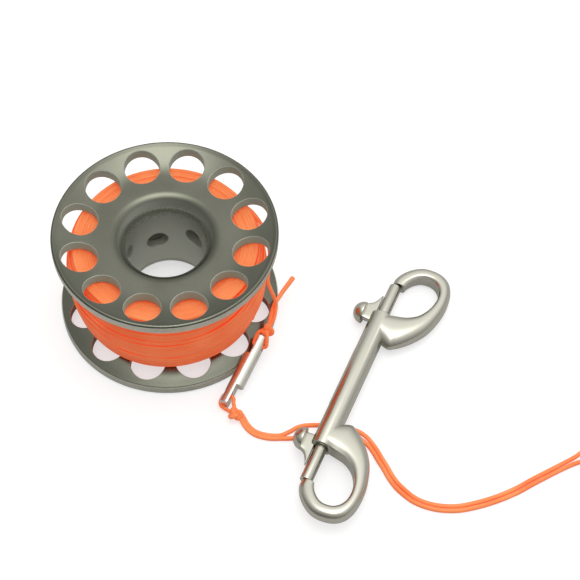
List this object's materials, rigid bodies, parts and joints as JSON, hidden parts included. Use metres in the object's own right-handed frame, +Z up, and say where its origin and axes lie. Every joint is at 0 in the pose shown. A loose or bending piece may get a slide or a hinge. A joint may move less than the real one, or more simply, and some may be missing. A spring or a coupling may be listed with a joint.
{
  "type": "finger spool with bolt snap",
  "caption": "Finger spool with a dished, drilled body, wound line with a doubled leader on a small metal link, and a double-ended bolt snap.",
  "frame": {"origin": "centre of the box round the spool and the snap, on the surface that they lie on", "axes": "+Z up along the spool's axis, +X from the spool towards the snap, +Y along the snap's shaft"},
  "size_m": [0.1818, 0.0986, 0.0391],
  "materials": {
    "anodised_aluminium": "satin olive-grey hard anodising over a turned surface",
    "orange_line": "fine braided line, matt",
    "snap_steel": "tumble-polished stainless casting and turned pins",
    "polished_steel": "mirror-polished turned rod",
    "spring_steel": "bright drawn wire"
  },
  "bodies": {
    "spool": {"spool_body": "anodised_aluminium", "line_core": "orange_line", "line_winding": "orange_line", "line_lead": "orange_line", "line_knot": "orange_line", "line_tail": "orange_line", "line_link": "polished_steel", "leader_knot": "orange_line", "leader_loop": "orange_line"},
    "snap": {"snap_body": "snap_steel", "upper_spring": "spring_steel", "lower_spring": "spring_steel"},
    "upper_bolt_slider": {"upper_bolt": "snap_steel", "upper_thumb_knob": "snap_steel"},
    "lower_bolt_slider": {"lower_bolt": "snap_steel", "lower_thumb_knob": "snap_steel"}
  },
  "joints": [
    {"name": "snap_lift", "type": "slide", "parent": "spool", "child": "snap", "axis": [0, 0, 1], "range_m": [0, 0.04]},
    {"name": "upper_bolt_slide", "type": "slide", "parent": "snap", "child": "upper_bolt_slider", "axis": [0, -0.9993, 0.0365], "range_m": [0, 0.0115], "stiffness_N_per_m": 600, "springref_m": -0.008, "deforming": ["upper_spring"]},
    {"name": "lower_bolt_slide", "type": "slide", "parent": "snap", "child": "lower_bolt_slider", "axis": [0, 0.9993, -0.0365], "range_m": [0, 0.0115], "stiffness_N_per_m": 600, "springref_m": -0.008, "deforming": ["lower_spring"]}
  ]
}
